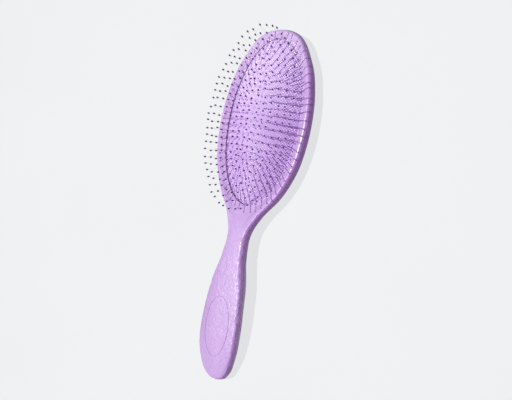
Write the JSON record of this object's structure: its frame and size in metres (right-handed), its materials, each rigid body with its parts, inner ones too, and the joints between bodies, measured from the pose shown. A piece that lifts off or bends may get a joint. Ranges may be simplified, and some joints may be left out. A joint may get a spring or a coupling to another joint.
{
  "type": "detangling brush",
  "caption": "Oval cushion hairbrush with a tapered handle, fanned ball-tipped pins and a rubber cushion that gives way when pressed.",
  "frame": {"origin": "under the middle of the brush's length and width, on the plane its back lies on", "axes": "+X from the handle end to the head tip, +Z from the back to the pin tips, +Y across the head"},
  "size_m": [0.225, 0.067, 0.03],
  "materials": {
    "shell": "satin moulded lavender plastic with plant-fibre flecks and a faint flow grain",
    "cushion": "soft pale lavender rubber with a fine diamond mesh texture",
    "frame": "plain moulded lavender plastic",
    "pins": "nearly clear nylon with a faint lilac tint",
    "tips": "glossy dark purple dipped resin"
  },
  "bodies": {
    "handle": {"front_shell": "shell", "back_shell": "shell", "cushion": "cushion", "cushion_frame": "frame"},
    "row_1": {"pins_row_1": "pins", "tips_row_1": "tips"},
    "row_2": {"pins_row_2": "pins", "tips_row_2": "tips"},
    "row_3": {"pins_row_3": "pins", "tips_row_3": "tips"},
    "row_4": {"pins_row_4": "pins", "tips_row_4": "tips"},
    "row_5": {"pins_row_5": "pins", "tips_row_5": "tips"},
    "row_6": {"pins_row_6": "pins", "tips_row_6": "tips"},
    "row_7": {"pins_row_7": "pins", "tips_row_7": "tips"}
  },
  "joints": [
    {"name": "cushion_press", "type": "slide", "parent": "handle", "child": "row_7", "axis": [0, 0, 1], "range_m": [-0.004, 0], "stiffness_N_per_m": 600, "deforming": ["cushion"]},
    {"name": "row_1_press", "type": "slide", "parent": "handle", "child": "row_1", "axis": [0, 0, 1], "range_m": [-0.0006, 0]},
    {"name": "row_2_press", "type": "slide", "parent": "handle", "child": "row_2", "axis": [0, 0, 1], "range_m": [-0.00136, 0]},
    {"name": "row_3_press", "type": "slide", "parent": "handle", "child": "row_3", "axis": [0, 0, 1], "range_m": [-0.00208, 0]},
    {"name": "row_4_press", "type": "slide", "parent": "handle", "child": "row_4", "axis": [0, 0, 1], "range_m": [-0.00272, 0]},
    {"name": "row_5_press", "type": "slide", "parent": "handle", "child": "row_5", "axis": [0, 0, 1], "range_m": [-0.00328, 0]},
    {"name": "row_6_press", "type": "slide", "parent": "handle", "child": "row_6", "axis": [0, 0, 1], "range_m": [-0.00372, 0]}
  ],
  "couplings": [
    {"joint": "row_1_press", "follows": "cushion_press", "ratio": 0.15},
    {"joint": "row_2_press", "follows": "cushion_press", "ratio": 0.34},
    {"joint": "row_3_press", "follows": "cushion_press", "ratio": 0.52},
    {"joint": "row_4_press", "follows": "cushion_press", "ratio": 0.68},
    {"joint": "row_5_press", "follows": "cushion_press", "ratio": 0.82},
    {"joint": "row_6_press", "follows": "cushion_press", "ratio": 0.93}
  ]
}
